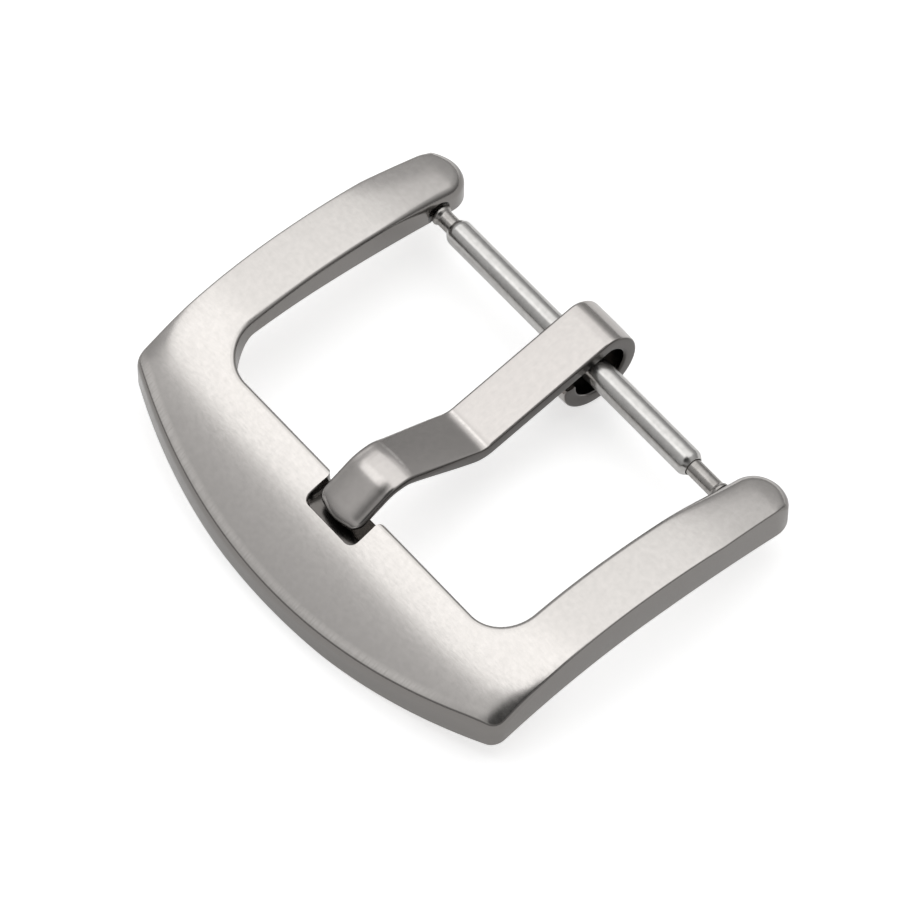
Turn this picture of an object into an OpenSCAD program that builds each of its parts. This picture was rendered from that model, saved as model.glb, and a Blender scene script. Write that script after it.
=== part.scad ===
// Arched tang buckle for a narrow strap, with its sprung strap bar.
// Millimetres. +X runs along the strap bar, +Y from the front bar to the
// strap bar, +Z up. The origin is the middle of the strap bar's axis.

/* [Frame] */
// Width between the two arms, which is the strap's width
strap_width = 22; // [16:0.5:26]
// Width of each arm
arm_width = 3.15; // [2.4:0.05:4]
// How far the arms reach behind the strap bar's axis
arm_reach = 2.5; // [1.8:0.1:3.5]
// Distance from the strap bar's axis to the front bar's inner edge
window_length = 14.35; // [12:0.05:18]
// Distance from the strap bar's axis to the middle of the front edge
front_length = 20.3; // [18:0.1:24]
// Radius of the bowed front edge, seen from above
front_bow = 34; // [28:0.5:60]
// Radius of the frame's two front corners, seen from above
corner_round = 0.9; // [0.4:0.1:2]
// Radius of the window's two front corners
window_round = 2.2; // [1:0.1:3]

/* [Arch] */
// Height of the arch's top above the strap bar's axis
crown_height = 2.12; // [1.5:0.01:3]
// Distance from the strap bar's axis to the arch's top
crown_offset = 7.6; // [5:0.1:9]
// Radius of the arch in front of its top
front_arch = 24.5; // [20:0.5:50]
// Radius of the arch behind its top
rear_arch = 35; // [20:0.5:50]
// Radius of the underside in front of the arch's top
front_hollow = 30; // [24:0.5:60]
// Radius of the underside behind the arch's top
rear_hollow = 65; // [40:1:90]
// Thickness of the frame at the arch's top
crown_thickness = 2.42; // [1.8:0.01:3]
// Height of the front bar's flat foot below the strap bar's axis
foot_drop = 3; // [2:0.05:3.2]

/* [Notch] */
// Clear width left each side of the tongue's tip
notch_gap = 0.35; // [0.2:0.05:0.6]
// Length of the notch in the front bar
notch_length = 1.95; // [1.2:0.05:2.5]
// Height of the notch's floor above the strap bar's axis
notch_floor = 0.1; // [-0.5:0.05:0.8]
// Radius of the notch's two inner corners
notch_round = 0.45; // [0.2:0.05:0.8]
// Radius of the two corners where the notch opens into the window
notch_flare = 0.45; // [0.1:0.05:0.8]

/* [Tongue] */
// Width of the tongue
tongue_width = 3; // [2:0.1:4]
// Thickness of the tongue's strip
strip = 0.85; // [0.6:0.05:1.2]
// Slope of the tongue's straight part, in degrees
tongue_slope = 12.2; // [8:0.1:16]
// Length of the straight part, from over the strap bar to the dip
straight_length = 7.1; // [4:0.05:9]
// Turn of the dip, in degrees
dip_turn = 38; // [20:1:50]
// Radius of the dip, at the strip's middle
dip_radius = 0.6; // [0.5:0.05:4]
// Length of the rise from the dip to the hump
rise_length = 5.1; // [2:0.05:6]
// Turn of the hump, in degrees
hump_turn = 27; // [15:1:40]
// Radius of the hump, at the strip's middle
hump_radius = 0.5; // [0.45:0.05:4]
// Length of the level part in front of the hump
level_length = 0.7; // [0.3:0.05:2]
// Turn of the brow between the level part and the nose's face, in degrees
brow_turn = 27; // [15:1:40]
// Radius of the brow, at the strip's middle
brow_radius = 0.8; // [0.45:0.05:2]
// Length of the nose's sloping face
face_length = 2.1; // [1:0.05:3]
// Turn of the nose, in degrees
nose_turn = 38; // [20:1:60]
// Radius of the nose, at the strip's middle
nose_radius = 0.6; // [0.45:0.05:2]
// Length of the nose's end
nose_length = 0.1; // [0.05:0.05:1]
// Length of the straight part behind the strap bar's top
eye_lead = 0.35; // [0.2:0.05:1.5]
// Radius of the eye's rear, at the strip's middle
eye_radius = 1.7; // [1.4:0.05:2.4]
// Length of the eye's bottom
eye_bottom = 0.3; // [0:0.05:1]
// Radius of the curl's end, at the strip's middle
curl_radius = 1.95; // [1.4:0.05:2.4]
// Turn of the curl's end, in degrees
curl_turn = 98; // [60:1:110]
// Radius of the tip's two corners, seen from above
tip_round = 0.55; // [0.2:0.05:1.2]

/* [Strap bar] */
// Diameter of the strap bar's tube
tube_diameter = 1.5; // [1.2:0.1:2]
// Wall of the tube
tube_wall = 0.15; // [0.1:0.01:0.3]
// Distance of the tube's left end from the middle
tube_left = 9.75; // [8:0.05:10.2]
// Distance of the tube's right end from the middle
tube_right = 8.8; // [8:0.05:10.2]
// Length of each crimped mouth
crimp_length = 0.5; // [0.3:0.05:0.8]
// Radius of the bend that rounds a crimped mouth
crimp_round = 0.3; // [0.1:0.05:0.4]
// Diameter of a tip's shank
shank_diameter = 0.95; // [0.8:0.05:1.1]
// Diameter of the thin flange on a tip
flange_diameter = 1.15; // [1:0.05:1.4]
// Thickness of the flange
flange_thickness = 0.2; // [0.1:0.05:0.4]
// Diameter of the pin that stands in an arm
pin_diameter = 0.8; // [0.7:0.05:0.95]
// Length of the pin in an arm
pin_length = 0.75; // [0.5:0.05:1.2]
// Length of a tip's head inside the tube
head_length = 1; // [0.6:0.1:1.6]
// Distance from a flange's outer face to the head's shoulder
tip_length = 2.7; // [2:0.05:4]
// Gap between a flange and its arm
flange_gap = 0.03; // [0.01:0.01:0.1]
// Radial clearance of each running fit
running_fit = 0.04; // [0.01:0.01:0.1]
// Extra depth of an arm's hole past the pin's end
hole_spare = 0.35; // [0.1:0.05:1]

/* [Spring] */
// Diameter of the spring's wire
wire_diameter = 0.2; // [0.1:0.02:0.3]
// Gap between the spring and the tube's bore
spring_gap = 0.08; // [0.04:0.01:0.15]
// Number of turns
spring_turns = 22; // [10:1:24]

/* [Hidden] */
$fn = 96;
eps = 0.01;
big = 60;

inner_half = strap_width / 2;
outer_half = inner_half + arm_width;
hollow_height = crown_height - crown_thickness;
bow_centre = front_bow - front_length;
// The disc that rounds a front corner touches the bow and the arm's side.
corner_x = outer_half - corner_round;
corner_y = bow_centre - sqrt(pow(front_bow - corner_round, 2) - pow(corner_x, 2));
tube_r = tube_diameter / 2;
bore_r = tube_r - tube_wall;
shank_r = shank_diameter / 2;
flange_r = flange_diameter / 2;
pin_r = pin_diameter / 2;
mouth_r = shank_r + running_fit;
head_r = bore_r - running_fit;
flange_face = inner_half - flange_gap;
shoulder_x = flange_face - tip_length;
head_end = shoulder_x - head_length;
hole_depth = pin_length + hole_spare;
notch_half = tongue_width / 2 + notch_gap;
wire_r = wire_diameter / 2;
coil_r = bore_r - spring_gap - wire_r;
spring_length = 2 * (head_end - spring_gap);
rings_per_turn = 8;
ring_sides = 6;
arc_step = 6;

// Turns a drawing of the YZ plane into a bar of width w along X.
module across(w)
    translate([-w / 2, 0, 0])
        rotate([90, 0, 90])
            linear_extrude(w) children();

// A disc whose top stands at height h over distance y, one side of it only.
module half_disc(y, h, r, side)
    intersection() {
        translate([y, h - r]) circle(r, $fn = 360);
        translate([side < 0 ? y - big : y, -big]) square([big, 2 * big]);
    }

// Everything under an arch with its top at height h.
module under_arch(h, front_r, rear_r) {
    half_disc(-crown_offset, h, front_r, -1);
    half_disc(-crown_offset, h, rear_r, 1);
}

module arch_profile()
    difference() {
        under_arch(crown_height, front_arch, rear_arch);
        under_arch(hollow_height, front_hollow, rear_hollow);
        translate([-big, -foot_drop - big]) square([2 * big, big]);
    }

// A rectangle with its corners rounded to radius r.
module rounded_box(x0, y0, x1, y1, r) {
    translate([x0 + r, y0]) square([x1 - x0 - 2 * r, y1 - y0]);
    translate([x0, y0 + r]) square([x1 - x0, y1 - y0 - 2 * r]);
    for (x = [x0 + r, x1 - r], y = [y0 + r, y1 - r])
        translate([x, y]) circle(r);
}

// The bow's disc, no wider than where it meets the two corners' discs.
module bow_disc() {
    meet = corner_x * front_bow / (front_bow - corner_round);
    intersection() {
        translate([0, bow_centre]) circle(front_bow, $fn = 360);
        translate([-meet, -big]) square([2 * meet, big + corner_y]);
    }
}

// The frame's outline before the window is cut out.
module blank_outline() {
    end_y = arm_reach - arm_width / 2;
    bow_disc();
    translate([-outer_half, corner_y])
        square([2 * outer_half, end_y - corner_y]);
    for (side = [-1, 1]) {
        translate([side * corner_x, corner_y]) circle(corner_round);
        translate([side * (inner_half + arm_width / 2), end_y])
            circle(arm_width / 2);
    }
}

module frame_outline()
    difference() {
        blank_outline();
        rounded_box(
            -inner_half, -window_length, inner_half, big, window_round
        );
    }

// What rounds the front bar's edge beside the notch, on one side.
module notch_mouth(side)
    translate([side * notch_half, -window_length])
        difference() {
            translate([side > 0 ? -eps : -notch_flare, -notch_flare])
                square([notch_flare + eps, notch_flare + eps]);
            translate([side * notch_flare, -notch_flare]) circle(notch_flare);
        }

module notch()
    translate([0, 0, notch_floor])
        linear_extrude(big) {
            rounded_box(
                -notch_half, -window_length - notch_length,
                notch_half, -window_length + 2 * notch_round, notch_round
            );
            for (side = [-1, 1]) notch_mouth(side);
        }

// The blind hole for a tip's pin, from an arm's inner face.
module bar_hole(side)
    translate([side * (inner_half - 1), 0, 0])
        rotate([0, side * 90, 0])
            cylinder(h = 1 + hole_depth, r = pin_r + running_fit);

module buckle_frame()
    color("silver")
        difference() {
            intersection() {
                across(2 * outer_half + 2) arch_profile();
                translate([0, 0, -big / 2])
                    linear_extrude(big) frame_outline();
            }
            notch();
            for (side = [-1, 1]) bar_hole(side);
        }

// A strip's route is a list of [length, turn, radius]. Each entry runs
// straight and then turns left by turn degrees, so a right turn is below 0.
function left_of(a) = [-sin(a), cos(a)];
function ahead(a) = [cos(a), sin(a)];
function after_straight(p, a, seg) = p + seg[0] * ahead(a);
function arc_centre(p, a, seg) = p + sign(seg[1]) * seg[2] * left_of(a);
function arc_point(p, a, seg, t, off) =
    arc_centre(p, a, seg)
    - sign(seg[1]) * (seg[2] - sign(seg[1]) * off) * left_of(a + t * seg[1]);
function arc_points(p, a, seg, off) =
    let (n = ceil(abs(seg[1]) / arc_step))
    [for (i = [0:n]) arc_point(p, a, seg, i / n, off)];

// One side of the strip, off millimetres left of its middle.
function side_points(p, a, segs, off, i = 0) =
    i == len(segs) ? [] :
    let (q = after_straight(p, a, segs[i]))
    segs[i][1] == 0
        ? concat(
            [q + off * left_of(a)],
            side_points(q, a, segs, off, i + 1)
        )
        : concat(
            arc_points(q, a, segs[i], off),
            side_points(
                arc_point(q, a, segs[i], 1, 0), a + segs[i][1],
                segs, off, i + 1
            )
        );
function reversed(list) = [for (i = [len(list) - 1:-1:0]) list[i]];

front_route = [
    [straight_length, -dip_turn, dip_radius],
    [rise_length, hump_turn, hump_radius],
    [level_length, brow_turn, brow_radius],
    [face_length, nose_turn, nose_radius],
    [nose_length, 0, 0]
];
rear_route = [
    [eye_lead, -180 - tongue_slope, eye_radius],
    [eye_bottom, -curl_turn, curl_radius]
];

// The strip starts over the strap bar, clear of its tube.
strip_rise = tube_r + running_fit + strip / 2;
strip_start = strip_rise * left_of(tongue_slope);

function half_outline(route, heading) = concat(
    side_points(strip_start, heading, route, strip / 2),
    reversed(side_points(strip_start, heading, route, -strip / 2))
);

module strip_half(route, heading)
    polygon(concat(
        [strip_start - strip / 2 * left_of(heading)],
        [strip_start + strip / 2 * left_of(heading)],
        half_outline(route, heading)
    ));

module tongue_profile() {
    strip_half(front_route, 180 + tongue_slope);
    strip_half(rear_route, tongue_slope);
}

// The tongue seen from above, with its tip's corners rounded.
module tongue_outline() {
    tip_y = min([
        for (p = half_outline(front_route, 180 + tongue_slope)) p[0]
    ]);
    rounded_box(
        -tongue_width / 2, tip_y, tongue_width / 2, big / 2, tip_round
    );
}

module tongue()
    color("gainsboro")
        intersection() {
            across(tongue_width) tongue_profile();
            translate([0, 0, -big / 2]) linear_extrude(big) tongue_outline();
        }

// Turns a drawing of radius against distance into a solid round the X axis.
module round_bar()
    rotate([0, 90, 0]) rotate_extrude() children();

module bar_tube()
    color("lightgray")
        round_bar() difference() {
            translate([0, -tube_left]) square([tube_r, tube_left + tube_right]);
            translate([-1, -tube_left + crimp_length])
                square([bore_r + 1, tube_left + tube_right - 2 * crimp_length]);
            translate([-1, -big]) square([mouth_r + 1, 2 * big]);
            crimp_corner(-tube_left, 1);
            crimp_corner(tube_right, -1);
        }

// What is cut away to round the outside of a crimped mouth.
module crimp_corner(x, inward)
    translate([tube_r - crimp_round, x + inward * crimp_round])
        difference() {
            translate([0, inward > 0 ? -crimp_round - 1 : 0])
                square([crimp_round + 1, crimp_round + 1]);
            circle(crimp_round);
        }

// A sprung tip pointing along +X: head, shank, flange and pin.
module sprung_tip()
    round_bar() {
        translate([0, head_end]) square([head_r, head_length]);
        translate([0, shoulder_x - eps])
            square([shank_r, tip_length - flange_thickness + 2 * eps]);
        translate([0, flange_face - flange_thickness])
            square([flange_r, flange_thickness]);
        translate([0, flange_face - eps]) square([pin_r, pin_length + eps]);
    }

module bar_tip_right()
    color("darkgray") sprung_tip();

module bar_tip_left()
    color("darkgray") mirror([1, 0, 0]) sprung_tip();

// The spring is one tube swept along a helix round the X axis.
function turn_angle(i) = i * 360 / rings_per_turn;
function coil_centre(i) = [
    (i / (rings_per_turn * spring_turns) - 0.5) * spring_length,
    coil_r * cos(turn_angle(i)),
    coil_r * sin(turn_angle(i))
];
function ring_point(i, k) =
    let (out = [0, cos(turn_angle(i)), sin(turn_angle(i))], t = k * 360 / ring_sides)
    coil_centre(i) + wire_r * (cos(t) * out + sin(t) * [1, 0, 0]);

ring_count = rings_per_turn * spring_turns + 1;
spring_gap_to_itself = min([
    for (i = [0:rings_per_turn], j = [i + rings_per_turn - 2:i + rings_per_turn + 2])
        norm(coil_centre(i) - coil_centre(j)) - wire_diameter
]);

module bar_spring() {
    echo(spring_gap_to_itself = spring_gap_to_itself);
    points = [
        for (i = [0:ring_count - 1], k = [0:ring_sides - 1]) ring_point(i, k)
    ];
    last = (ring_count - 1) * ring_sides;
    walls = [
        for (i = [0:ring_count - 2], k = [0:ring_sides - 1])
            let (
                a = i * ring_sides + k,
                b = i * ring_sides + (k + 1) % ring_sides
            )
            each [[a, a + ring_sides, b], [b, a + ring_sides, b + ring_sides]]
    ];
    ends = [
        for (k = [1:ring_sides - 2])
            each [[0, k, k + 1], [last, last + k + 1, last + k]]
    ];
    color("dimgray") polyhedron(points, concat(walls, ends), 4);
}

buckle_frame();
tongue();
bar_tube();
bar_tip_left();
bar_tip_right();
bar_spring();
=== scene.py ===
import math

import bmesh
import bpy
from mathutils import Matrix, Vector


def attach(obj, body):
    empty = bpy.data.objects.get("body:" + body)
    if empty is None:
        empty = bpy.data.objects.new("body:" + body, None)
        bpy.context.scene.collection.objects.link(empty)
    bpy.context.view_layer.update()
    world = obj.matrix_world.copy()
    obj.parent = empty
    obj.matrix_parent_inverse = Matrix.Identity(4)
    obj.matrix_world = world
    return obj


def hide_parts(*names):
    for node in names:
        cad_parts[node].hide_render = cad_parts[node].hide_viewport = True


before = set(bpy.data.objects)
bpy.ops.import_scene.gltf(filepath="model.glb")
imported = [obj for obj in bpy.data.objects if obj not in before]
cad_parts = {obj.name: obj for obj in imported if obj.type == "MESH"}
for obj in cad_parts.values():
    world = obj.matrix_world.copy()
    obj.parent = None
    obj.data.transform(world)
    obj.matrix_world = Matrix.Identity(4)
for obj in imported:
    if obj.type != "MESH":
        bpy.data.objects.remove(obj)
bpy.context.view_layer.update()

# Sizes are in millimetres. MM turns them into Blender's metres. The axes are
# the part's own: +X along the strap bar, +Y from the front bar to the strap
# bar, +Z up, with the origin in the middle of the strap bar.
MM = 0.001

STRAP_WIDTH = 22.0
ARM_WIDTH = 3.15
ARM_REACH = 2.5
WINDOW_LENGTH = 14.35
FRONT_LENGTH = 20.3
FRONT_BOW = 34.0
CORNER_ROUND = 0.9
WINDOW_ROUND = 2.2

CROWN_HEIGHT = 2.12
CROWN_OFFSET = 7.6
FRONT_ARCH = 24.5
REAR_ARCH = 35.0
HOLLOW_HEIGHT = -0.3
FRONT_HOLLOW = 30.0
REAR_HOLLOW = 65.0
FOOT_DROP = 3.0

NOTCH_HALF = 1.85
NOTCH_LENGTH = 1.95
NOTCH_FLOOR = 0.1
NOTCH_ROUND = 0.45
NOTCH_FLARE = 0.45

TONGUE_WIDTH = 3.0
STRIP = 0.85
TONGUE_SLOPE = 12.2
TUBE_R = 0.75
RUNNING_FIT = 0.04

INNER_HALF = STRAP_WIDTH / 2
OUTER_HALF = INNER_HALF + ARM_WIDTH
ARM_X = INNER_HALF + ARM_WIDTH / 2
CAP_Y = ARM_REACH - ARM_WIDTH / 2
BOW_CENTRE = FRONT_BOW - FRONT_LENGTH
CORNER_X = OUTER_HALF - CORNER_ROUND
CORNER_Y = BOW_CENTRE - math.sqrt(
    (FRONT_BOW - CORNER_ROUND) ** 2 - CORNER_X ** 2
)
# The top face droops towards the front corners, and beside the arm's side
# from SIDE_DROOP_START in front of the strap bar on.
DROOP = 0.48
DROOP_REACH = 2.8
DROOP_PLACE = (OUTER_HALF + 0.8, CORNER_Y - 0.6)
SIDE_DROOP = 0.12
SIDE_DROOP_REACH = 1.0
SIDE_DROOP_START = 11.0
# The top face is crowned, most at the arm's rear. The roundings of its edges
# lean with it, by CROWN_LEAN times the crown's height over its half width.
CROWN = 0.05
CROWN_REAR = 0.12
CROWN_LEAN = 1.5
# The roundings of the top face's edges. The inner one is wider towards the
# arm's rear and the outer one along the front, where it is also taller than it
# is wide. Both go over to END_EDGE round the arm's end.
INNER_EDGE = 0.3
INNER_EDGE_REAR = 0.68
OUTER_EDGE = 0.13
OUTER_EDGE_FRONT = 0.2
END_EDGE = 0.6
FRONT_EDGE_EXTRA = 0.25
UNDER_EDGE = 0.09
# Where these values change over: along Y for the arm's rear and its end, and
# by the distance in front of the strap bar for the front.
REAR_FROM = -4.0
REAR_TO = 0.5
END_FROM = 1.0
FRONT_FROM = 13.5
FRONT_TO = 16.0
# The arm's outer top edge runs inwards behind CREASE_FROM.
CREASE_FROM = -2.5
CREASE_SLOPE = 0.065
# Its distance is measured across the outline, which turns away from X round
# the arm's end. This limits how much longer it gets there.
LEAST_ACROSS = 0.3
# The arm's underside rises towards its inner side, by a share of the distance
# from the arm's end. The rise fades out at the window's front corner.
UNDER_RISE = 0.078
RISE_NONE = -14.0
RISE_FULL = -12.0

# How many steps each stretch of the frame's outline has, from the arm's end
# round the corner to the middle of the front.
END_STEPS = 18
ARM_STEPS = 60
SIDE_STEPS = 18
CORNER_STEPS = 16
BOW_STEPS = 22
FRONT_STEPS = 44
# How many a ring's top and underside, a rounded edge and the notch's arcs have.
TOP_STEPS = 16
UNDER_STEPS = 10
EDGE_STEPS = 6
NOTCH_STEPS = 8

# Points of a mesh closer than MERGE_DISTANCE are one. Its edges are sharp where
# they turn by more than SHARP_ANGLE, or by CUT_SHARP_ANGLE after a cut.
MERGE_DISTANCE = 0.002
SHARP_ANGLE = math.radians(38)
CUT_SHARP_ANGLE = math.radians(30)


def blend(low, high, value):
    """A smooth step from 0 at low to 1 at high."""
    t = min(1.0, max(0.0, (value - low) / (high - low)))
    return t * t * (3 - 2 * t)


def mix(first, second, share):
    return first + (second - first) * share


def steps(first, last, count):
    """count + 1 even values from first to last."""
    return [first + (last - first) * i / count for i in range(count + 1)]


def add_object(name, mesh, body, material, nodes=()):
    """Puts a mesh in the scene, on its body, in place of its CAD nodes."""
    piece = bpy.data.objects.new(name, mesh)
    bpy.context.scene.collection.objects.link(piece)
    mesh.materials.append(material)
    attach(piece, body)
    if nodes:
        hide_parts(*nodes)
    return piece


def mesh_from_rings(name, rings, close_ends=True, flip=False):
    """A smooth mesh through closed rings of points given in millimetres.

    Its UV map runs along the rings in u and round them in v, in millimetres.
    """
    bm = bmesh.new()
    uv = bm.loops.layers.uv.new("along")
    count = len(rings[0])
    rows = [[bm.verts.new(Vector(p) * MM) for p in ring] for ring in rings]
    u = 0.0
    for i in range(len(rings) - 1):
        middle_a = sum((Vector(p) for p in rings[i]), Vector()) / count
        middle_b = sum((Vector(p) for p in rings[i + 1]), Vector()) / count
        u_next = u + (middle_b - middle_a).length
        v = 0.0
        for k in range(count):
            m = (k + 1) % count
            v_next = v + (Vector(rings[i][m]) - Vector(rings[i][k])).length
            corners = [rows[i][k], rows[i][m], rows[i + 1][m], rows[i + 1][k]]
            places = [(u, v), (u, v_next), (u_next, v_next), (u_next, v)]
            if flip:
                corners.reverse()
                places.reverse()
            face = bm.faces.new(corners)
            for loop, place in zip(face.loops, places):
                loop[uv].uv = place
            v = v_next
        u = u_next
    if close_ends:
        for row, turned in ((rows[0], not flip), (rows[-1], flip)):
            bm.faces.new(list(reversed(row)) if turned else row)
    bmesh.ops.remove_doubles(bm, verts=bm.verts, dist=MERGE_DISTANCE * MM)
    bmesh.ops.recalc_face_normals(bm, faces=bm.faces)
    mesh = bpy.data.meshes.new(name)
    bm.to_mesh(mesh)
    bm.free()
    mesh.shade_smooth()
    mesh.set_sharp_from_angle(angle=SHARP_ANGLE)
    return mesh


def lathe(name, profile, sides=96):
    """A solid of revolution round the X axis through (x, radius) points."""
    rings = []
    for x, r in profile:
        rings.append([
            (x, r * math.cos(a), r * math.sin(a))
            for a in steps(0.0, 2 * math.pi, sides)[:-1]
        ])
    return mesh_from_rings(name, rings)


# Frame


def bow_y(x, radius=FRONT_BOW):
    return BOW_CENTRE - math.sqrt(radius ** 2 - x * x)


def arch(y, height, front_r, rear_r):
    """Height of a surface made of two arcs that meet at the arch's top."""
    d = -y - CROWN_OFFSET
    r = front_r if d > 0 else rear_r
    return height - r + math.sqrt(r * r - d * d)


def arch_top(y):
    return arch(y, CROWN_HEIGHT, FRONT_ARCH, REAR_ARCH)


def arch_bottom(y):
    return max(-FOOT_DROP, arch(y, HOLLOW_HEIGHT, FRONT_HOLLOW, REAR_HOLLOW))


def end_cap_stations():
    """Pairs of inner and outer outline points round the right arm's end."""
    r = ARM_WIDTH / 2
    for a in steps(0.0, math.pi / 2, END_STEPS):
        s, c = math.sin(a), math.cos(a)
        y = CAP_Y + r * c
        yield (ARM_X - r * s, y), (-s, c), (ARM_X + r * s, y), (s, c)


def arm_stations():
    for y in steps(CAP_Y, -WINDOW_LENGTH + WINDOW_ROUND, ARM_STEPS)[1:]:
        yield (INNER_HALF, y), (-1, 0), (OUTER_HALF, y), (1, 0)


def corner_outer_points():
    """The outer outline from the arm's side round the corner to the bow."""
    turn_end = math.acos(CORNER_X / (FRONT_BOW - CORNER_ROUND))
    for y in steps(-WINDOW_LENGTH + WINDOW_ROUND, CORNER_Y, SIDE_STEPS)[1:]:
        yield (OUTER_HALF, y), (1, 0)
    for a in steps(0.0, turn_end, CORNER_STEPS)[1:]:
        n = (math.cos(a), -math.sin(a))
        yield (CORNER_X + CORNER_ROUND * n[0], CORNER_Y + CORNER_ROUND * n[1]), n
    meet = CORNER_X * FRONT_BOW / (FRONT_BOW - CORNER_ROUND)
    for x in steps(meet, INNER_HALF - WINDOW_ROUND, BOW_STEPS)[1:]:
        yield (x, bow_y(x)), (x / FRONT_BOW, (bow_y(x) - BOW_CENTRE) / FRONT_BOW)


def corner_stations():
    """The inner outline's corner arc faces the outer points in step."""
    cx = INNER_HALF - WINDOW_ROUND
    cy = -WINDOW_LENGTH + WINDOW_ROUND
    for outer, n in corner_outer_points():
        a = math.atan2(cy - outer[1], outer[0] - cx)
        s, c = math.sin(a), math.cos(a)
        yield (cx + WINDOW_ROUND * c, cy - WINDOW_ROUND * s), (-c, s), outer, n


def front_stations():
    for x in steps(INNER_HALF - WINDOW_ROUND, 0.0, FRONT_STEPS)[1:]:
        n = (x / FRONT_BOW, (bow_y(x) - BOW_CENTRE) / FRONT_BOW)
        yield (x, -WINDOW_LENGTH), (0, 1), (x, bow_y(x)), n


def inward(point, normal, depth):
    """A point of an outline moved in by depth."""
    return point[0] - normal[0] * depth, point[1] - normal[1] * depth


def top_edges(along, ahead):
    """The inner rounding, and the outer one's width and height.

    along is the Y of the ring's inner end, and ahead is how far its outer end
    lies in front of the strap bar.
    """
    near_end = blend(REAR_FROM, REAR_TO, along)
    near_apex = blend(CAP_Y, ARM_REACH, along)
    round_end = blend(END_FROM, ARM_REACH, along)
    at_front = blend(FRONT_FROM, FRONT_TO, ahead)
    edge_in = mix(INNER_EDGE, INNER_EDGE_REAR, near_end)
    edge_out = mix(OUTER_EDGE, OUTER_EDGE_FRONT, at_front)
    edge_out = mix(edge_out, END_EDGE, round_end)
    tall_out = edge_out + FRONT_EDGE_EXTRA * at_front
    return mix(edge_in, END_EDGE, near_apex), edge_out, tall_out


def corner_fall(point, ahead):
    """How far the droop near a front corner lowers the top face."""
    off_corner = math.dist(point, DROOP_PLACE) / DROOP_REACH
    off_side = (OUTER_HALF - point[0]) / SIDE_DROOP_REACH
    side_drop = SIDE_DROOP * blend(SIDE_DROOP_START, -CORNER_Y, ahead)
    at_corner = DROOP * max(0.0, 1 - off_corner) ** 2
    return at_corner + side_drop * max(0.0, 1 - off_side) ** 2


def crown_shape(inner, outer):
    """The crown's height, its middle and its half width in one ring."""
    near_end = blend(REAR_FROM, REAR_TO, inner[1])
    crown = mix(CROWN, CROWN_REAR, near_end)
    if inner[1] > CAP_Y:
        return crown, (ARM_X, CAP_Y), ARM_WIDTH / 2
    middle = ((inner[0] + outer[0]) / 2, (inner[1] + outer[1]) / 2)
    return crown, middle, math.dist(inner, outer) / 2


def frame_ring(inner, inner_n, outer, outer_n):
    """One closed cross-section of the frame, from outline to outline."""
    along = inner[1]
    edge_in, edge_out, tall_out = top_edges(along, -outer[1])
    crown, middle, half = crown_shape(inner, outer)
    tilt = CROWN_LEAN * crown / half
    crease_x = OUTER_HALF - CREASE_SLOPE * max(0.0, along - CREASE_FROM)
    lean = max(0.0, outer[0] - crease_x) / max(LEAST_ACROSS, outer_n[0])
    rise = UNDER_RISE * (ARM_REACH - along) * blend(RISE_NONE, RISE_FULL, along)

    def fall(point):
        """How far the crown and the corner's droop lower the top there."""
        from_middle = math.dist(point, middle) / half
        return crown * from_middle ** 2 + corner_fall(point, -outer[1])

    def under(y, share):
        return arch_bottom(y) + rise * (1 - share)

    def top_edge(point, normal, lean, edge, tall, angles):
        """The rounding of a top edge, from the wall up to the top face."""
        low = fall(inward(point, normal, lean + edge * (1 - math.sin(tilt))))
        for a in angles:
            x, y = inward(point, normal, lean + edge * (1 - math.cos(a)))
            z = arch_top(y) - low - tall * (math.cos(tilt) - math.sin(a))
            yield x, y, z

    def under_edge(point, normal, share, angles):
        """The rounding of an underside's edge, from below up to the wall."""
        for a in angles:
            x, y = inward(point, normal, UNDER_EDGE * (1 - math.sin(a)))
            yield x, y, under(y, share) + UNDER_EDGE * (1 - math.cos(a))

    angles = steps(0.0, math.pi / 2, EDGE_STEPS)
    tops = steps(0.0, math.pi / 2 - tilt, EDGE_STEPS)
    ring = [*under_edge(inner, inner_n, 0, angles)]
    ring += top_edge(inner, inner_n, 0.0, edge_in, edge_in, tops)
    first = ring[-1]
    last = inward(outer, outer_n, lean + edge_out * (1 - math.sin(tilt)))
    for share in steps(0.0, 1.0, TOP_STEPS)[1:-1]:
        x, y = mix(first[0], last[0], share), mix(first[1], last[1], share)
        ring.append((x, y, arch_top(y) - fall((x, y))))
    ring += top_edge(outer, outer_n, lean, edge_out, tall_out, reversed(tops))
    ring += under_edge(outer, outer_n, 1, reversed(angles))
    first = inward(inner, inner_n, UNDER_EDGE)
    last = inward(outer, outer_n, UNDER_EDGE)
    for share in steps(1.0, 0.0, UNDER_STEPS)[1:-1]:
        x, y = mix(first[0], last[0], share), mix(first[1], last[1], share)
        ring.append((x, y, under(y, share)))
    return ring


def frame_rings():
    """Rings from the right arm's end round the front to the left arm's end."""
    stations = [*end_cap_stations(), *arm_stations()]
    stations += [*corner_stations(), *front_stations()]
    right = [frame_ring(*s) for s in stations]
    left = [[(-x, y, z) for x, y, z in ring] for ring in reversed(right[:-1])]
    return right + left


# The notch's floor has a bevelled edge, and so has its rim, from a little
# under the top face to a little over it.
NOTCH_FLOOR_BEVEL = 0.12
NOTCH_RIM_BEVEL = 0.08
NOTCH_RIM_UNDER = 0.06
NOTCH_RIM_OVER = 0.02
# How far the cutter reaches into the window, and up to what height.
NOTCH_REACH = 2.0
NOTCH_TOP = 4.0


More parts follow.
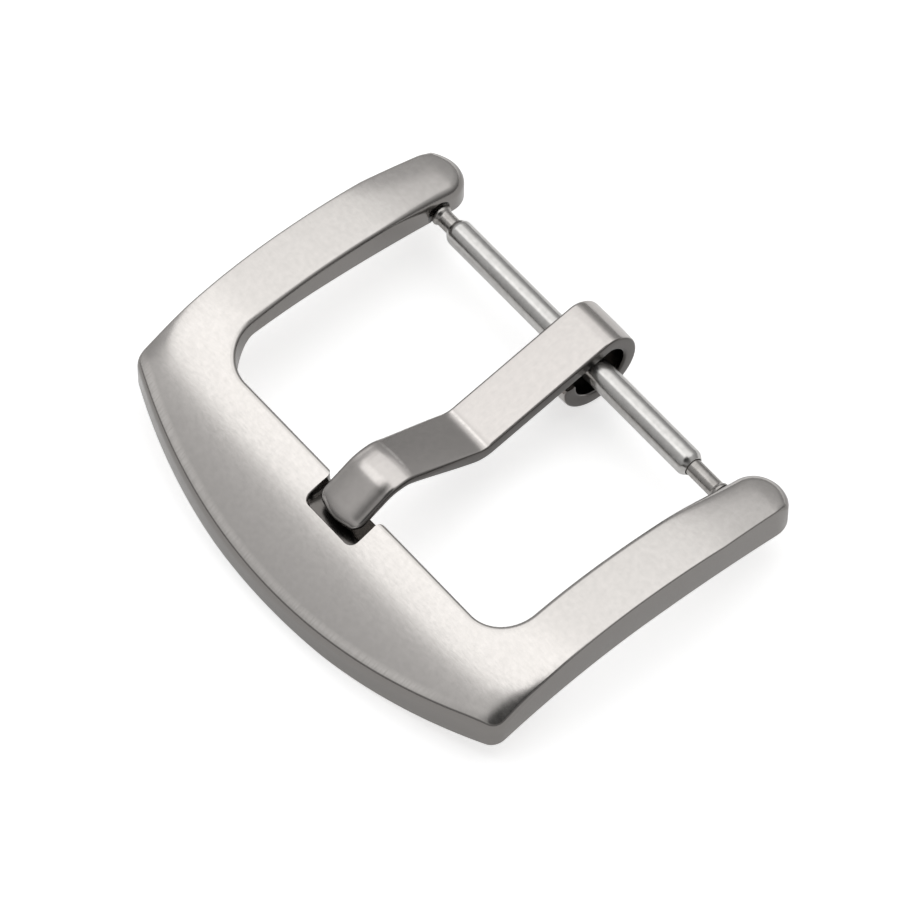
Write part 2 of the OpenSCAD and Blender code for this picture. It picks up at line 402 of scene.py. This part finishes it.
def notch_cutter():
    """The notch's hollow, wider at its rim and narrower at its floor."""
    y0, y1 = -WINDOW_LENGTH - NOTCH_LENGTH, -WINDOW_LENGTH + NOTCH_REACH
    r = NOTCH_ROUND

    def outline(grow):
        """The notch from above, moved outwards by grow, but not its ends."""
        half = [(NOTCH_HALF + NOTCH_FLARE, y1)]
        for share in steps(0.0, 1.0, NOTCH_STEPS):
            a = math.pi / 2 * (1 + share)
            flare = NOTCH_FLARE - grow * share
            half.append((
                NOTCH_HALF + NOTCH_FLARE + flare * math.cos(a),
                -WINDOW_LENGTH - NOTCH_FLARE + flare * math.sin(a)
            ))
        for a in steps(0.0, -math.pi / 2, NOTCH_STEPS):
            half.append((
                NOTCH_HALF - r + (r + grow) * math.cos(a),
                y0 + r + (r + grow) * math.sin(a)
            ))
        return half + [(-x, y) for x, y in reversed(half)]

    def ring(grow, height):
        return [(x, y, height(y)) for x, y in outline(grow)]

    def rim(y):
        return arch_top(max(min(y, -WINDOW_LENGTH), y0))

    rings = [
        ring(-NOTCH_FLOOR_BEVEL, lambda y: NOTCH_FLOOR),
        ring(0.0, lambda y: NOTCH_FLOOR + NOTCH_FLOOR_BEVEL),
        ring(0.0, lambda y: rim(y) - NOTCH_RIM_UNDER),
        ring(NOTCH_RIM_BEVEL, lambda y: rim(y) + NOTCH_RIM_OVER),
        ring(NOTCH_RIM_BEVEL, lambda y: NOTCH_TOP)
    ]
    return mesh_from_rings("notch_cutter", rings)


# The arms' blind holes, and the countersinks at their mouths. The cutter starts
# in the window, HOLE_REACH away from the arm.
HOLE_R = 0.44
HOLE_DEPTH = 1.1
HOLE_RIM_R = 0.7
HOLE_RIM_DEPTH = 0.25
HOLE_REACH = 1.0
HOLE_SIDES = 48


def bar_hole_cutter():
    """The two arms' blind holes, as one cutter."""
    hole = (
        (INNER_HALF - HOLE_REACH, HOLE_RIM_R), (INNER_HALF, HOLE_RIM_R),
        (INNER_HALF + HOLE_RIM_DEPTH, HOLE_R), (INNER_HALF + HOLE_DEPTH, HOLE_R)
    )
    right = lathe("hole_cutter", hole, HOLE_SIDES)
    left = lathe("hole_cutter", [(-x, r) for x, r in hole], HOLE_SIDES)
    bm = bmesh.new()
    bm.from_mesh(right)
    bm.from_mesh(left)
    bm.to_mesh(right)
    bm.free()
    return right


def cut(piece, cutter_mesh):
    """Takes a cutter out of a piece and leaves the result in its mesh."""
    cutter = bpy.data.objects.new("cutter", cutter_mesh)
    bpy.context.scene.collection.objects.link(cutter)
    modifier = piece.modifiers.new("cut", "BOOLEAN")
    modifier.operation = "DIFFERENCE"
    modifier.solver = "EXACT"
    modifier.object = cutter
    graph = bpy.context.evaluated_depsgraph_get()
    done = bpy.data.meshes.new_from_object(piece.evaluated_get(graph))
    piece.modifiers.clear()
    piece.data = done
    bpy.data.objects.remove(cutter)
    done.set_sharp_from_angle(angle=CUT_SHARP_ANGLE)


def build_frame(material):
    mesh = mesh_from_rings("buckle_frame_skin", frame_rings())
    piece = add_object(
        "buckle_frame_skin", mesh, "frame", material,
        ["buckle_frame"]
    )
    cut(piece, notch_cutter())
    cut(piece, bar_hole_cutter())
    return piece


# Tongue

# The strip's middle runs both ways from over the strap bar. Each entry is a
# straight's length, the turn after it in degrees and that bend's radius.
FRONT_ROUTE = [
    (6.756, -38.0, 1.6),
    (4.54, 27.0, 1.4),
    (0.194, 27.0, 2.0),
    (1.707, 38.0, 0.9)
]
REAR_ROUTE = [
    (0.945, -40.0, 0.7),
    (0.0, -140.0 - TONGUE_SLOPE, 1.833),
    (0.135, -98.0, 1.95)
]
TIP_ROUND = 0.75
# How long the roundings of the strip's two ends are, and what share of its
# thickness is left at the very end.
NOSE_TAPER = 0.15
NOSE_END_SHARE = 0.55
CURL_TAPER = 0.12
CURL_END_SHARE = 0.7
# The roundings and the crown across the strip, and what the nose adds to
# them. The face is the nose's flat in front of the hump.
STRIP_EDGE = 0.15
NOSE_EDGE_EXTRA = 0.2
STRIP_CROWN = 0.02
NOSE_CROWN_EXTRA = 0.1
FACE_CROWN_EXTRA = 0.08
# Where these extras fade, by the distance from the tip.
NOSE_FADE = (3.0, 9.0)
FACE_FADE = (2.0, 4.5)
# A rounding takes up no more than this share of the half width or thickness.
MOST_OF_HALF = 0.98
# The path's steps: their length along a straight, the degrees that they turn
# by round a bend and the fewest that a bend has. The strip's faces have
# STRIP_STEPS across.
STRAIGHT_STEP = 0.12
BEND_STEP = 4
LEAST_BEND_STEPS = 6
STRIP_STEPS = 12


def route_samples(start, heading, route):
    """Points and headings along straights and arcs, in the YZ plane."""
    y, z = start
    a = math.radians(heading)
    samples = [(y, z, a)]
    for straight, turn, radius in route:
        count = max(1, round(straight / STRAIGHT_STEP))
        for d in steps(0.0, straight, count)[1:]:
            samples.append((y + d * math.cos(a), z + d * math.sin(a), a))
        y += straight * math.cos(a)
        z += straight * math.sin(a)
        if turn == 0.0:
            continue
        way = math.copysign(1.0, turn)
        cy = y - way * radius * math.sin(a)
        cz = z + way * radius * math.cos(a)
        count = max(LEAST_BEND_STEPS, round(abs(turn) / BEND_STEP))
        for t in steps(0.0, math.radians(turn), count)[1:]:
            b = a + t
            samples.append((
                cy + way * radius * math.sin(b),
                cz - way * radius * math.cos(b), b
            ))
        y, z, a = samples[-1]
    return samples


def tongue_path():
    """One path from the tongue's tip to its curled end, with headings."""
    slope = math.radians(TONGUE_SLOPE)
    rise = TUBE_R + RUNNING_FIT + STRIP / 2
    start = (-rise * math.sin(slope), rise * math.cos(slope))
    front = route_samples(start, 180.0 + TONGUE_SLOPE, FRONT_ROUTE)
    rear = route_samples(start, TONGUE_SLOPE, REAR_ROUTE)
    front = [(y, z, a + math.pi) for y, z, a in reversed(front)]
    return front[:-1] + rear


def strip_ring(y, z, a, half_width, half_thick, edge, crown):
    """A rounded rectangle across the strip at one point of its path.

    Its top and bottom faces are lower towards the sides by the crown.
    """
    half_thick -= crown
    edge = min(edge, MOST_OF_HALF * half_thick, MOST_OF_HALF * half_width)
    up = (-math.sin(a), math.cos(a))
    ring = []

    def add(x, off):
        rise = crown * (1 - (x / (half_width - edge)) ** 2)
        off += math.copysign(max(0.0, rise), off)
        ring.append((x, y + off * up[0], z + off * up[1]))

    quarters = (
        (half_width - edge, half_thick - edge, 0.0),
        (-half_width + edge, half_thick - edge, math.pi / 2),
        (-half_width + edge, -half_thick + edge, math.pi),
        (half_width - edge, -half_thick + edge, 1.5 * math.pi)
    )
    for x0, o0, first in quarters:
        for b in steps(first, first + math.pi / 2, EDGE_STEPS):
            add(x0 + edge * math.cos(b), o0 + edge * math.sin(b))
        if first in (0.0, math.pi):
            for x in steps(x0, -x0, STRIP_STEPS)[1:-1]:
                add(x, o0 + math.copysign(edge, o0))
    return ring


def end_taper(distance, taper, end_share):
    """The share of the strip's thickness at a distance from its end."""
    if distance >= taper:
        return 1.0
    return mix(end_share, 1.0, math.sqrt(1 - (1 - distance / taper) ** 2))


def tongue_rings():
    """Rings across the strip, from the tongue's tip to its curled end."""
    path = tongue_path()
    distances = [0.0]
    for p, q in zip(path, path[1:]):
        distances.append(distances[-1] + math.dist(p[:2], q[:2]))
    rings = []
    for (y, z, a), from_tip in zip(path, distances):
        half_width = TONGUE_WIDTH / 2
        half_thick = STRIP / 2
        from_curl = distances[-1] - from_tip
        if from_tip < TIP_ROUND:
            back = TIP_ROUND - from_tip
            half_width += math.sqrt(TIP_ROUND ** 2 - back ** 2) - TIP_ROUND
        half_thick *= end_taper(from_tip, NOSE_TAPER, NOSE_END_SHARE)
        half_thick *= end_taper(from_curl, CURL_TAPER, CURL_END_SHARE)
        near_tip = 1 - blend(*NOSE_FADE, from_tip)
        on_face = 1 - blend(*FACE_FADE, from_tip)
        edge = STRIP_EDGE + NOSE_EDGE_EXTRA * near_tip
        crown = STRIP_CROWN + NOSE_CROWN_EXTRA * near_tip
        crown += FACE_CROWN_EXTRA * on_face
        rings.append(strip_ring(y, z, a, half_width, half_thick, edge, crown))
    return rings


def build_tongue(material):
    mesh = mesh_from_rings("tongue_skin", tongue_rings())
    return add_object(
        "tongue_skin", mesh, "tongue", material, ["tongue"]
    )


# Strap bar


# A profile's corner is rounded in this many steps, over no more than this
# share of the straights beside it.
PROFILE_STEPS = 5
MOST_OF_STRAIGHT = 0.45


def rounded_profile(points, radius):
    """An (x, radius) profile whose corners between its ends are rounded."""
    out = [points[0]]
    for before, here, after in zip(points, points[1:], points[2:]):
        p, h, q = Vector(before), Vector(here), Vector(after)
        shorter = min((h - p).length, (q - h).length)
        cut_back = min(radius, MOST_OF_STRAIGHT * shorter)
        start = h + (p - h).normalized() * cut_back
        end = h + (q - h).normalized() * cut_back
        for t in steps(0.0, 1.0, PROFILE_STEPS):
            first = start.lerp(h, t)
            second = h.lerp(end, t)
            out.append(tuple(first.lerp(second, t)))
    out.append(points[-1])
    return out


# The tube's ends and its crimped mouths: each has a narrow flat lip, and the
# crimp runs out to the tube's full radius.
TUBE_LEFT = -9.75
TUBE_RIGHT = 8.8
MOUTH_R = 0.515
MOUTH_DEPTH = 0.5
LIP = 0.05
CRIMP = 0.28
CRIMP_ROUND = 0.2
# The tips' radii, and their places along X on the right.
SHANK_R = 0.475
FLANGE_R = 0.575
PIN_R = 0.4
HEAD_R = 0.56
CORE_R = 0.02
HEAD_END = 7.3
SHOULDER = 8.24
FLANGE_FACE = INNER_HALF - 0.03
FLANGE_EDGE = FLANGE_FACE - 0.1
FLANGE_BACK = FLANGE_FACE - 0.25
FLANGE_FOOT = FLANGE_FACE - 0.4
PIN_END = FLANGE_FACE + 0.72
TIP_CORNER_ROUND = 0.05


def build_tube(material):
    outer = [
        (TUBE_LEFT + MOUTH_DEPTH, MOUTH_R), (TUBE_LEFT, MOUTH_R),
        (TUBE_LEFT, MOUTH_R + LIP), (TUBE_LEFT + CRIMP, TUBE_R),
        (TUBE_RIGHT - CRIMP, TUBE_R), (TUBE_RIGHT, MOUTH_R + LIP),
        (TUBE_RIGHT, MOUTH_R), (TUBE_RIGHT - MOUTH_DEPTH, MOUTH_R)
    ]
    mesh = lathe("bar_tube_skin", rounded_profile(outer, CRIMP_ROUND))
    return add_object(
        "bar_tube_skin", mesh, "bar", material, ["bar_tube"]
    )


def build_tip(side, material):
    """A tip: head, shank, thin flange and pin. side is 1 for the right one."""
    name = "bar_tip_right" if side > 0 else "bar_tip_left"
    body = "tip_right" if side > 0 else "tip_left"
    points = [
        (HEAD_END, CORE_R), (HEAD_END, HEAD_R), (SHOULDER, HEAD_R),
        (SHOULDER, SHANK_R), (FLANGE_FOOT, SHANK_R), (FLANGE_BACK, FLANGE_R),
        (FLANGE_EDGE, FLANGE_R), (FLANGE_EDGE, PIN_R), (PIN_END, PIN_R),
        (PIN_END, CORE_R)
    ]
    rounded = rounded_profile(points, TIP_CORNER_ROUND)
    mesh = lathe(name + "_skin", [(side * x, r) for x, r in rounded])
    return add_object(name + "_skin", mesh, body, material, [name])


# Materials


# How deep the brush marks are at full strength, in metres.
BUMP_DEPTH = 0.00002
# The noise values between which brush marks and mottling change over, and those
# between which the strength of the rubbing and painted highlights does.
MARKS_RANGE = (0.3, 0.7)
UNEVEN_RANGE = (0.35, 0.65)
# How fine noises are along X, Y and Z.
MOTTLE_SCALE = (3000.0, 3000.0, 3000.0)
RIM_MARKS = (12000.0, 900.0, 900.0)
BEND_MARKS = (6000.0, 3000.0, 3000.0)


def new_material(name):
    material = bpy.data.materials.new(name)
    material.use_nodes = True
    tree = material.node_tree
    shader = tree.nodes["Principled BSDF"]
    return material, tree, shader


def add_node(tree, kind, **inputs):
    node = tree.nodes.new(kind)
    for key, value in inputs.items():
        node.inputs[key.replace("_", " ")].default_value = value
    return node


def stretched_noise(tree, scale, detail=3.0):
    """Noise in the object's own space, drawn out by an uneven scale."""
    place = add_node(tree, "ShaderNodeTexCoord")
    mapping = add_node(tree, "ShaderNodeMapping", Scale=scale)
    noise = add_node(tree, "ShaderNodeTexNoise", Scale=1.0, Detail=detail)
    tree.links.new(place.outputs["Object"], mapping.inputs["Vector"])
    tree.links.new(mapping.outputs["Vector"], noise.inputs["Vector"])
    return noise


def ramp(tree, source, low, high, at_low, at_high):
    """A value that goes evenly from at_low to at_high, and no further."""
    node = add_node(
        tree, "ShaderNodeMapRange",
        From_Min=low, From_Max=high, To_Min=at_low, To_Max=at_high
    )
    tree.links.new(source, node.inputs["Value"])
    return node.outputs["Result"]


def tint(tree, source, dark, light):
    """A colour between dark and light, after a noise."""
    node = tree.nodes.new("ShaderNodeValToRGB")
    stops = zip(node.color_ramp.elements, MARKS_RANGE, (dark, light))
    for stop, place, colour in stops:
        stop.position = place
        stop.color = (*colour, 1)
    tree.links.new(source, node.inputs["Fac"])
    return node.outputs["Color"]


def bump(tree, source, strength):
    node = add_node(tree, "ShaderNodeBump", Strength=strength, Distance=BUMP_DEPTH)
    tree.links.new(source, node.inputs["Height"])
    return node.outputs["Normal"]


# The colours of the areas that differ from the brushed faces: a lighter one for
# rubbing and painted highlights, and darker ones for painted shade.
AREA_COLOURS = {
    "worn": (0.82, 0.786, 0.756),
    "walls": (0.25, 0.237, 0.226),
    "notch": (0.15, 0.141, 0.133),
    "sides": (0.12, 0.112, 0.106),
    "hollow": (0.06, 0.056, 0.052)
}


def math_node(tree, operation, first, second=None):
    node = tree.nodes.new("ShaderNodeMath")
    node.operation = operation
    for socket, value in zip(node.inputs, (first, second)):
        if isinstance(value, bpy.types.NodeSocket):
            tree.links.new(value, socket)
        elif value is not None:
            socket.default_value = value
    return node.outputs[0]


def object_axes(tree, kind="Object"):
    """The X, Y and Z of an object's own place or normal."""
    place = tree.nodes.new("ShaderNodeTexCoord")
    split = tree.nodes.new("ShaderNodeSeparateXYZ")
    tree.links.new(place.outputs[kind], split.inputs["Vector"])
    return split.outputs


def wall_share(tree, axis, at_wall, at_face):
    """1 on the walls, whose normal has at_wall along an axis, else 0."""
    along = math_node(tree, "ABSOLUTE", object_axes(tree, "Normal")[axis])
    return ramp(tree, along, at_wall, at_face, 1.0, 0.0)


def inside_box(tree, low, high):
    """1 inside a box given in millimetres, else 0."""
    share = 1.0
    axes = object_axes(tree)
    for axis in range(3):
        middle = (low[axis] + high[axis]) / 2 * MM
        half = (high[axis] - low[axis]) / 2 * MM
        from_middle = math_node(tree, "SUBTRACT", axes[axis], middle)
        away = math_node(tree, "ABSOLUTE", from_middle)
        inside = math_node(tree, "LESS_THAN", away, half)
        share = math_node(tree, "MULTIPLY", inside, share)
    return share


def sum_of_squares(tree, *lines):
    """The squared distance from a line, given as (axis, millimetres) pairs."""
    axes = object_axes(tree)
    total = 0.0
    for axis, place in lines:
        away = math_node(tree, "SUBTRACT", axes[axis], place * MM)
        square = math_node(tree, "MULTIPLY", away, away)
        total = math_node(tree, "ADD", square, total)
    return total


def inside_roll(tree, y, z, full, none):
    """1 within full millimetres of a line along X, 0 beyond none."""
    distance = math_node(tree, "SQRT", sum_of_squares(tree, (1, y), (2, z)))
    return ramp(tree, distance, full * MM, none * MM, 1.0, 0.0)


def mix_colour(tree, share, first, second):
    """A colour that goes from first to second as share goes from 0 to 1."""
    node = tree.nodes.new("ShaderNodeMix")
    node.data_type = "RGBA"
    tree.links.new(share, node.inputs[0])
    # A mix node's colours are its inputs 6 and 7, and its output 2.
    for socket, colour in zip(node.inputs[6:8], (first, second)):
        if isinstance(colour, bpy.types.NodeSocket):
            tree.links.new(colour, socket)
        else:
            socket.default_value = (*colour, 1)
    return node.outputs[2]


def steel(name, dark, light, rough, grain, strength, **areas):
    """Steel with fine brush marks, mottling and a slightly uneven gloss.

    areas are functions of the tree that give where the lighter rim and bends, rubbing
    and painted highlights, and the painted shade of the walls, notch, sides and
    hollows are.
    """
    material, tree, shader = new_material(name)
    marks = stretched_noise(tree, grain)
    mottle = stretched_noise(tree, MOTTLE_SCALE, detail=4.0)
    colour = tint(tree, mottle.outputs["Fac"], dark, light)
    for area, other in AREA_COLOURS.items():
        if area in areas:
            colour = mix_colour(tree, areas[area](tree), colour, other)
    tree.links.new(colour, shader.inputs["Base Color"])
    shader.inputs["Metallic"].default_value = 1.0
    tree.links.new(
        ramp(tree, marks.outputs["Fac"], *MARKS_RANGE, *rough),
        shader.inputs["Roughness"]
    )
    tree.links.new(
        bump(tree, marks.outputs["Fac"], strength), shader.inputs["Normal"]
    )
    return material


# Where the steel's colour differs from its brushed faces, with painted shade and
# painted highlights. An area takes in this much beyond its surfaces, so that rounding
# errors don't leave specks.
AREA_SLACK = 0.02
# The notch's painted shade ends this far behind the window's edge, and all that lies
# this near to its floor is in it.
NOTCH_AREA_BACK = 0.1
NOTCH_AREA_FLOOR = 0.2
# The holes' painted shade reaches this far past an arm's inner face and this far from
# the bar's middle, and fades out this far each side of the countersinks' radius.
HOLE_AREA_REACH = 1.2
HOLE_AREA_HALF = 1.0
HOLE_AREA_FADE = 0.03
# Areas round lines along X: Y, Z and the radii where they are full and gone. The eye's
# inside and the nose's end get painted shade, the bends are lighter for rubbing and
# painted highlights.
EYE_AREA = (0.3, -0.3, 1.45, 1.65)
NOSE_END_AREA = (-15.9, 0.45, 0.4, 0.7)
DIP_AREA = (-7.2, 0.16, 0.02, 0.12)
HUMP_AREA = (-11.9, 2.28, 0.02, 0.16)
# The front's lighter rim, rubbing and a painted highlight, by its distance from the
# bowed edge, and the X where it fades out. The rim's and the bends' rubbing and
# painted highlights show at this least and most strength.
RIM_NONE = 0.65
RIM_FULL = 0.35
RIM_FADE = (9.0, 12.0)
RIM_STRENGTHS = (0.5, 1.0)
BEND_STRENGTHS = (0.4, 0.9)
# The part of a wall's normal along an axis where the wall's painted shade is full and
# gone: along Z for the frame, and along X for the tongue's sides.
FRAME_WALL = (2, 0.66, 0.84)
NOTCH_WALL = (2, 0.6, 0.75)
TONGUE_SIDE = (0, 0.75, 0.45)


def uneven_strength(tree, scale, strengths):
    """An uneven strength of rubbing and painted highlight between two strengths, after
    a stretched noise.
    """
    marks = stretched_noise(tree, scale)
    return ramp(tree, marks.outputs["Fac"], *UNEVEN_RANGE, *strengths)


def frame_walls(tree):
    """1 on the frame's upright walls, which get painted shade, else 0."""
    return wall_share(tree, *FRAME_WALL)


def tongue_side_shade(tree):
    """1 on the tongue's two sides, which get painted shade, else 0."""
    return wall_share(tree, *TONGUE_SIDE)


def notch_painted_shade(tree):
    """1 on the notch's walls and floor, which get painted shade, else 0."""
    half = NOTCH_HALF + AREA_SLACK
    front = -WINDOW_LENGTH - NOTCH_LENGTH - AREA_SLACK
    back = -WINDOW_LENGTH + NOTCH_AREA_BACK
    low = (-half, front, NOTCH_FLOOR - AREA_SLACK)
    whole = inside_box(tree, low, (half, back, CROWN_HEIGHT))
    walls = math_node(tree, "MULTIPLY", whole, wall_share(tree, *NOTCH_WALL))
    floor = inside_box(tree, low, (half, back, NOTCH_FLOOR + NOTCH_AREA_FLOOR))
    return math_node(tree, "MAXIMUM", walls, floor)


def hole_shade(tree):
    """1 inside the two arms' blind holes, which get painted shade, else 0."""
    corner = (INNER_HALF + HOLE_AREA_REACH, HOLE_AREA_HALF, HOLE_AREA_HALF)
    near, far = HOLE_RIM_R - HOLE_AREA_FADE, HOLE_RIM_R + HOLE_AREA_FADE
    return math_node(
        tree, "MULTIPLY", inside_box(tree, [-c for c in corner], corner),
        inside_roll(tree, 0.0, 0.0, near, far)
    )


def tongue_hollows(tree):
    """1 inside the tongue's eye and at its nose's end, which get painted shade, else
    0.
    """
    return math_node(
        tree, "MAXIMUM",
        inside_roll(tree, *EYE_AREA), inside_roll(tree, *NOSE_END_AREA)
    )


def rim_wear_and_highlight(tree):
    """1 on the top face's rim along the bowed front, with marks across it: rubbing and
    a painted highlight.

    It ends before the right corner.
    """
    squares = sum_of_squares(tree, (0, 0.0), (1, BOW_CENTRE))
    from_centre = math_node(tree, "SQRT", squares)
    low, high = (FRONT_BOW - RIM_NONE) * MM, (FRONT_BOW - RIM_FULL) * MM
    near = ramp(tree, from_centre, low, high, 0.0, 1.0)
    rubbed = math_node(tree, "MULTIPLY", near, uneven_strength(tree, RIM_MARKS, RIM_STRENGTHS))
    fade = [x * MM for x in RIM_FADE]
    before = ramp(tree, object_axes(tree)[0], *fade, 1.0, 0.0)
    return math_node(tree, "MULTIPLY", rubbed, before)


def worn_bends(tree):
    """1 on the lighter lines across the tongue's dip and hump, rubbing and painted
    highlights, else 0.
    """
    lines = math_node(
        tree, "MAXIMUM",
        inside_roll(tree, *DIP_AREA), inside_roll(tree, *HUMP_AREA)
    )
    return math_node(tree, "MULTIPLY", lines, uneven_strength(tree, BEND_MARKS, BEND_STRENGTHS))


def frame_steel():
    return steel(
        "satin_steel",
        dark=(0.57, 0.547, 0.526), light=(0.61, 0.585, 0.563),
        rough=(0.17, 0.24), grain=(2500.0, 9000.0, 2500.0), strength=0.05,
        # The rim is lighter for rubbing and a painted highlight; the walls, notch and
        # holes get painted shade.
        worn=rim_wear_and_highlight, walls=frame_walls, notch=notch_painted_shade, hollow=hole_shade
    )


def tongue_steel():
    return steel(
        "half_polished_steel",
        dark=(0.52, 0.495, 0.477), light=(0.55, 0.523, 0.503),
        rough=(0.17, 0.23), grain=(9000.0, 1400.0, 1400.0), strength=0.05,
        # The bends are lighter for rubbing and painted highlights; the sides, eye and
        # nose's end get painted shade.
        worn=worn_bends, sides=tongue_side_shade, hollow=tongue_hollows
    )


def bar_steel():
    return steel(
        "polished_steel",
        dark=(0.55, 0.54, 0.525), light=(0.62, 0.61, 0.595),
        rough=(0.20, 0.27), grain=(2500.0, 9000.0, 9000.0), strength=0.05
    )


def turned_steel():
    return steel(
        "turned_steel",
        dark=(0.34, 0.326, 0.312), light=(0.46, 0.442, 0.425),
        rough=(0.22, 0.32), grain=(9000.0, 1500.0, 1500.0), strength=0.15
    )


# The floor's colour and its glow: in plain light, in the steel and in view.
FLOOR_COLOUR = (0.8, 0.85, 1.0)
FLOOR_GLOW = (0.0, 0.30, 0.53)


def floor_level(tree, plain, in_steel, in_view):
    """A value of the floor in plain light, as seen in steel and in view."""
    path = tree.nodes.new("ShaderNodeLightPath")
    mirrored = math_node(
        tree, "MAXIMUM",
        path.outputs["Is Glossy Ray"], path.outputs["Is Transmission Ray"]
    )
    level = tree.nodes.new("ShaderNodeMix")
    tree.links.new(path.outputs["Is Camera Ray"], level.inputs[0])
    tree.links.new(ramp(tree, mirrored, 0.0, 1.0, plain, in_steel), level.inputs[2])
    level.inputs[3].default_value = in_view
    return level.outputs[0]


def floor_material():
    """A pale floor that looks white to the camera and in the steel.

    There a share of its white is its own glow, so its shadows stay light.
    """
    material, tree, shader = new_material("studio_floor")
    colour = floor_level(tree, *FLOOR_COLOUR)
    glow = floor_level(tree, *FLOOR_GLOW)
    tree.links.new(colour, shader.inputs["Base Color"])
    shader.inputs["Emission Color"].default_value = (1, 1, 1, 1)
    tree.links.new(glow, shader.inputs["Emission Strength"])
    shader.inputs["Roughness"].default_value = 1.0
    shader.inputs["Specular IOR Level"].default_value = 0.0
    return material


# Studio

CAMERA_AZIMUTH = 50.28
CAMERA_ELEVATION = 57.70
CAMERA_DISTANCE = 400.0
CAMERA_ACROSS = -5.891
CAMERA_UP = -5.465
FOCAL_PIXELS = 7976.0
IMAGE_PIXELS = 923.0
SENSOR_MM = 36.0
FLOOR_HEIGHT = -3.03
# In metres: how near and how far the camera sees, and half the floor's width.
CAMERA_NEAR = 0.01
CAMERA_FAR = 10.0
FLOOR_HALF = 3.0

# The studio's light: a sky that is darker towards the horizon, and three
# level soft lamps one behind the other above, the brightest one in front.
# Their places are in metres.
HORIZON_LIGHT = 0.25
ZENITH_LIGHT = 0.70
LAMP_HEIGHT = 0.8
LAMP_RIGHTS = (-0.05, 0.40, 0.40)
LAMP_LEFTS = (-0.82, -0.82, -0.62)
LAMP_EDGES = (-0.33, -0.02, 0.66, 1.06)
LAMP_RADIANCES = (0.98, 0.67, 0.32)
# Behind the camera the room is dark.
DARK_INNER = math.radians(20)
DARK_OUTER = math.radians(32)
DARK_SHARE = 0.08


def camera_axes():
    """The camera's right, up and back."""
    a, e = math.radians(CAMERA_AZIMUTH), math.radians(CAMERA_ELEVATION)
    right = Vector((math.cos(a), math.sin(a), 0))
    back = Vector((math.sin(a) * math.cos(e), -math.cos(a) * math.cos(e), math.sin(e)))
    return right, back.cross(right), back


def build_camera():
    right, up, back = camera_axes()
    place = back * CAMERA_DISTANCE + right * CAMERA_ACROSS + up * CAMERA_UP
    data = bpy.data.cameras.new("camera")
    data.sensor_width = SENSOR_MM
    data.lens = FOCAL_PIXELS * SENSOR_MM / IMAGE_PIXELS
    data.clip_start = CAMERA_NEAR
    data.clip_end = CAMERA_FAR
    data.dof.use_dof = False
    camera = bpy.data.objects.new("camera", data)
    turn = Matrix((right, up, back)).transposed().to_4x4()
    camera.matrix_world = Matrix.Translation(place * MM) @ turn
    bpy.context.scene.collection.objects.link(camera)
    bpy.context.scene.camera = camera


def build_floor():
    mesh = bpy.data.meshes.new("studio_floor")
    z = FLOOR_HEIGHT * MM
    corners = [
        (x * FLOOR_HALF, y * FLOOR_HALF, z)
        for x, y in ((-1, -1), (1, -1), (1, 1), (-1, 1))
    ]
    mesh.from_pydata(corners, [], [(0, 1, 2, 3)])
    floor = bpy.data.objects.new("studio_floor", mesh)
    bpy.context.scene.collection.objects.link(floor)
    mesh.materials.append(floor_material())


def add_lamp(left, right, front, back, radiance):
    """A level rectangular lamp between two places along X and Y."""
    data = bpy.data.lights.new("lamp", "AREA")
    data.shape = "RECTANGLE"
    data.size = right - left
    data.size_y = back - front
    data.energy = radiance * math.pi * data.size * data.size_y
    lamp = bpy.data.objects.new("lamp", data)
    lamp.location = ((left + right) / 2, (front + back) / 2, LAMP_HEIGHT)
    bpy.context.scene.collection.objects.link(lamp)


def build_world():
    """The sky, darker towards the horizon and round the camera's direction."""
    world = bpy.data.worlds.new("studio")
    world.use_nodes = True
    tree = world.node_tree
    place = tree.nodes.new("ShaderNodeTexCoord")
    split = tree.nodes.new("ShaderNodeSeparateXYZ")
    tree.links.new(place.outputs["Generated"], split.inputs["Vector"])
    sky = ramp(tree, split.outputs["Z"], 0.0, 1.0, HORIZON_LIGHT, ZENITH_LIGHT)
    to_camera = tree.nodes.new("ShaderNodeVectorMath")
    to_camera.operation = "DOT_PRODUCT"
    to_camera.inputs[1].default_value = camera_axes()[2]
    tree.links.new(place.outputs["Generated"], to_camera.inputs[0])
    shade = ramp(
        tree, to_camera.outputs["Value"],
        math.cos(DARK_OUTER), math.cos(DARK_INNER), 1.0, DARK_SHARE
    )
    strength = math_node(tree, "MULTIPLY", sky, shade)
    tree.links.new(strength, tree.nodes["Background"].inputs["Strength"])
    tree.nodes["Background"].inputs["Color"].default_value = (1, 1, 1, 1)
    bpy.context.scene.world = world


def build_lamps():
    lamps = zip(LAMP_LEFTS, LAMP_RIGHTS, LAMP_EDGES, LAMP_EDGES[1:], LAMP_RADIANCES)
    for lamp in lamps:
        add_lamp(*lamp)


def build_all():
    build_frame(frame_steel())
    build_tongue(tongue_steel())
    bar_material = bar_steel()
    build_tube(bar_material)
    tip_material = turned_steel()
    build_tip(-1, tip_material)
    build_tip(1, tip_material)
    spring = bpy.data.objects["bar_spring"]
    for index in range(len(spring.material_slots)):
        spring.material_slots[index].material = bar_material


bpy.context.scene.view_settings.view_transform = "Standard"
build_camera()
build_world()
build_lamps()
build_floor()
build_all()
